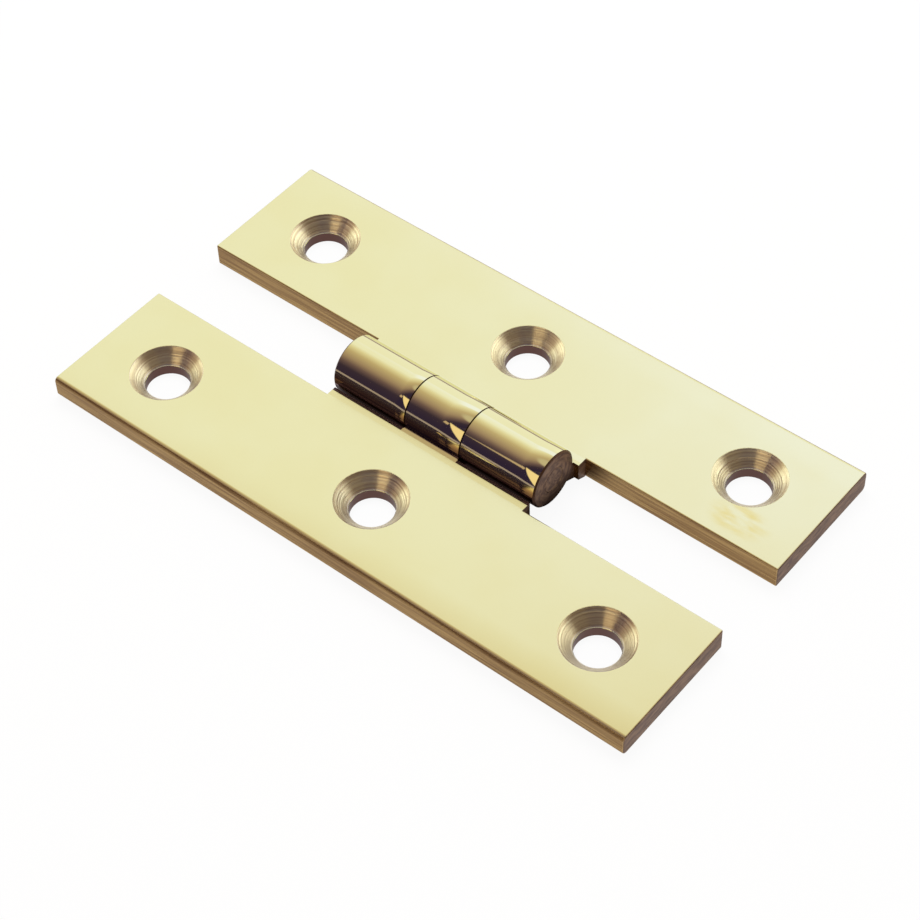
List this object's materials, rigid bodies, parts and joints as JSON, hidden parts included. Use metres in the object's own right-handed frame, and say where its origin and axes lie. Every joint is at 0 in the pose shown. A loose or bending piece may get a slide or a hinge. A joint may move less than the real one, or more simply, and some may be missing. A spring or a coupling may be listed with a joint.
{
  "type": "h hinge",
  "caption": "H-shaped surface hinge in solid drawn brass, lying open flat, with narrow countersunk leaves joined by a short pinned barrel.",
  "frame": {"origin": "on the back plane of the leaves, under the middle of the pin", "axes": "+Z out of the polished faces, +Y along the pin, +X across the hinge towards the leaf that holds the outer knuckles"},
  "size_m": [0.0352, 0.0636, 0.0056],
  "materials": {
    "polished_brass": "polished face, sawn and tarnished edges",
    "pin_brass": "filed and tarnished ends"
  },
  "bodies": {
    "fixed_side": {"back_leaf": "polished_brass", "hinge_pin": "pin_brass"},
    "swinging_side": {"front_leaf": "polished_brass"}
  },
  "joints": [
    {"name": "leaf_swing", "type": "hinge", "parent": "fixed_side", "child": "swinging_side", "pos_m": [0, 0, 0.00285], "axis": [0, 1, 0], "range_deg": [-98, 180]}
  ]
}
